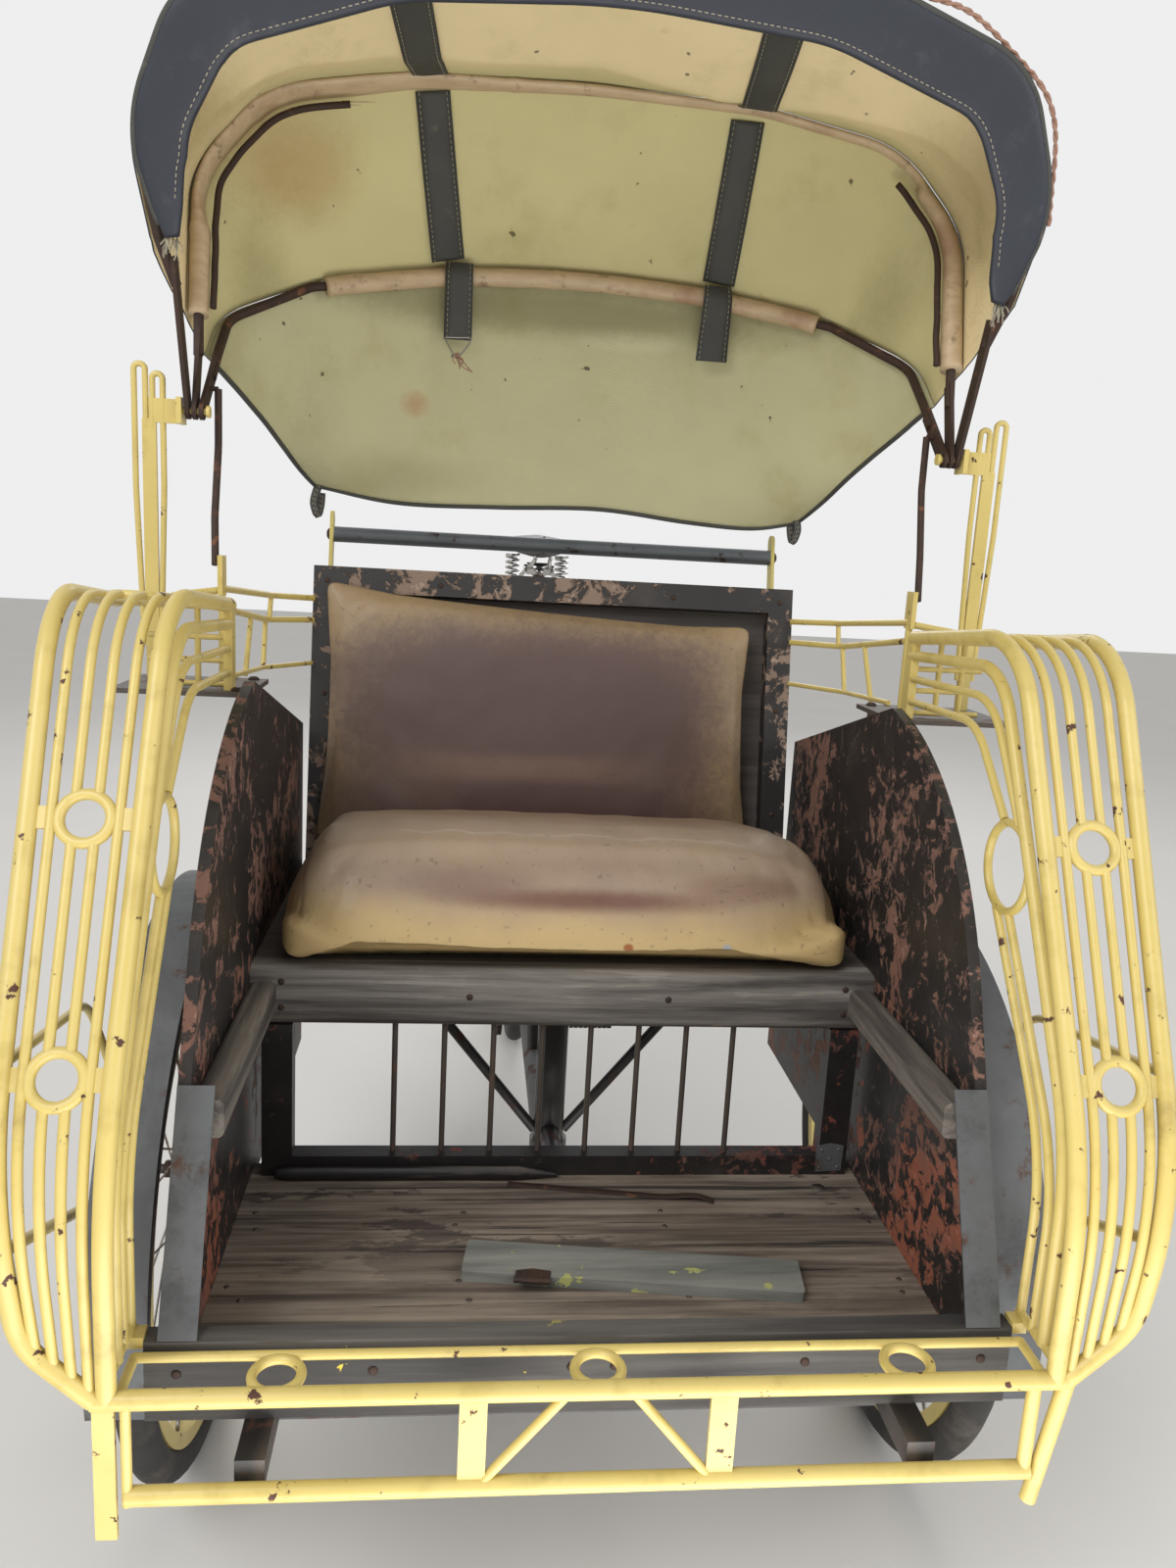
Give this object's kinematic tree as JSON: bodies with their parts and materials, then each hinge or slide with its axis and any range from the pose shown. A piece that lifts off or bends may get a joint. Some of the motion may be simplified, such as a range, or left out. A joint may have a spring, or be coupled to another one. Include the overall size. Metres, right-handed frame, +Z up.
{
  "type": "cycle rickshaw",
  "caption": "Pedal rickshaw with a hooded passenger seat between two guarded front wheels and the rider's steered frame and wheel behind.",
  "frame": {"origin": "on the ground, under the middle of the vehicle's length and width", "axes": "+X to the right of someone who faces the passenger seat, +Y back to the rider, +Z up; the passenger side faces -Y"},
  "size_m": [1.0968, 2.1335, 1.7561],
  "materials": {
    "tyre": "worn black rubber",
    "yellow_paint": "lemon yellow paint, chipped to rust",
    "black_paint": "black paint, worn",
    "panel_paint": "black paint that flakes off pinkish brown",
    "bare_steel": "dull steel with rust",
    "rusty_steel": "brown rusty steel",
    "grey_sheet": "grey sheet metal, dull",
    "floor_wood": "weathered bare wood",
    "dark_wood": "wood with worn dark paint",
    "bamboo": "split bamboo",
    "beige_vinyl": "stained beige vinyl",
    "hood_cloth": "stained cream lining under dark cloth",
    "dark_cloth": "navy black cloth",
    "saddle_vinyl": "black, cracked",
    "chrome": "dull chrome",
    "black_plastic": "black rubber"
  },
  "bodies": {
    "cabin": {"chassis_frame": "black_paint", "side_panel_left": "panel_paint", "side_panel_right": "panel_paint", "panel_edge_strips": "grey_sheet", "side_rails": "dark_wood", "floor_planks": "floor_wood", "front_board": "dark_wood", "seat_front_rail": "dark_wood", "seat_legs": "black_paint", "under_seat_grille": "black_paint", "seat_board": "dark_wood", "seat_cushion": "beige_vinyl", "backrest_frame": "dark_wood", "backrest_board": "dark_wood", "backrest_cushion": "beige_vinyl", "front_bumper": "yellow_paint", "wheel_guard_left": "yellow_paint", "wheel_guard_right": "yellow_paint", "guard_brackets": "black_paint", "side_tie_rods": "yellow_paint", "front_mudguards": "grey_sheet", "hood_posts": "yellow_paint", "hood_stays": "black_paint", "handlebar": "bare_steel", "loose_board": "dark_wood", "hood_rear_bow": "bamboo", "hood_rear_arms": "rusty_steel", "rear_curtain": "hood_cloth"},
    "front_wheel_left": {"front_tyre_left": "tyre", "front_rim_left": "yellow_paint", "front_hub_left": "bare_steel"},
    "front_wheel_right": {"front_tyre_right": "tyre", "front_rim_right": "yellow_paint", "front_hub_right": "bare_steel"},
    "rider_frame": {"rear_frame": "black_paint", "rear_mudguard": "grey_sheet", "saddle": "saddle_vinyl", "saddle_support": "chrome", "chain": "rusty_steel"},
    "rear_wheel": {"rear_tyre": "tyre", "rear_rim": "yellow_paint", "rear_hub": "bare_steel"},
    "cranks": {"crankset": "bare_steel"},
    "left_pedal": {"pedal_left": "black_plastic"},
    "right_pedal": {"pedal_right": "black_plastic"},
    "middle_bow": {"hood_middle_bow": "bamboo", "hood_middle_arms": "rusty_steel", "canopy_rear": "hood_cloth"},
    "front_bow": {"hood_front_bow": "rusty_steel", "hood_valance": "dark_cloth", "canopy_front": "hood_cloth"}
  },
  "joints": [
    {"name": "front_wheel_left_spin", "type": "hinge", "parent": "cabin", "child": "front_wheel_left", "pos_m": [-0.447, -0.55225, 0.345], "axis": [-1, 0, 0], "continuous": true},
    {"name": "front_wheel_right_spin", "type": "hinge", "parent": "cabin", "child": "front_wheel_right", "pos_m": [0.447, -0.55225, 0.345], "axis": [-1, 0, 0], "continuous": true},
    {"name": "steering", "type": "hinge", "parent": "cabin", "child": "rider_frame", "pos_m": [0, -0.41825, 0.3], "axis": [0, 0, 1], "range_deg": [-30, 30]},
    {"name": "rear_wheel_spin", "type": "hinge", "parent": "rider_frame", "child": "rear_wheel", "pos_m": [0, 0.69175, 0.345], "axis": [-1, 0, 0], "continuous": true},
    {"name": "crank_spin", "type": "hinge", "parent": "rider_frame", "child": "cranks", "pos_m": [0, 0.25175, 0.285], "axis": [-1, 0, 0], "continuous": true},
    {"name": "pedal_left_spin", "type": "hinge", "parent": "cranks", "child": "left_pedal", "pos_m": [-0.106, 0.41675, 0.285], "axis": [-1, 0, 0], "continuous": true},
    {"name": "pedal_right_spin", "type": "hinge", "parent": "cranks", "child": "right_pedal", "pos_m": [0.106, 0.08675, 0.285], "axis": [-1, 0, 0], "continuous": true},
    {"name": "hood_fold", "type": "hinge", "parent": "cabin", "child": "middle_bow", "pos_m": [0, -0.43825, 1.272], "axis": [-1, 0, 0], "range_deg": [0, 22], "deforming": ["canopy_rear"]},
    {"name": "front_bow_fold", "type": "hinge", "parent": "middle_bow", "child": "front_bow", "pos_m": [0, -0.43825, 1.272], "axis": [-1, 0, 0], "range_deg": [0, 26.4], "deforming": ["canopy_front"]}
  ],
  "couplings": [
    {"joint": "front_bow_fold", "follows": "hood_fold", "ratio": 1.2}
  ]
}
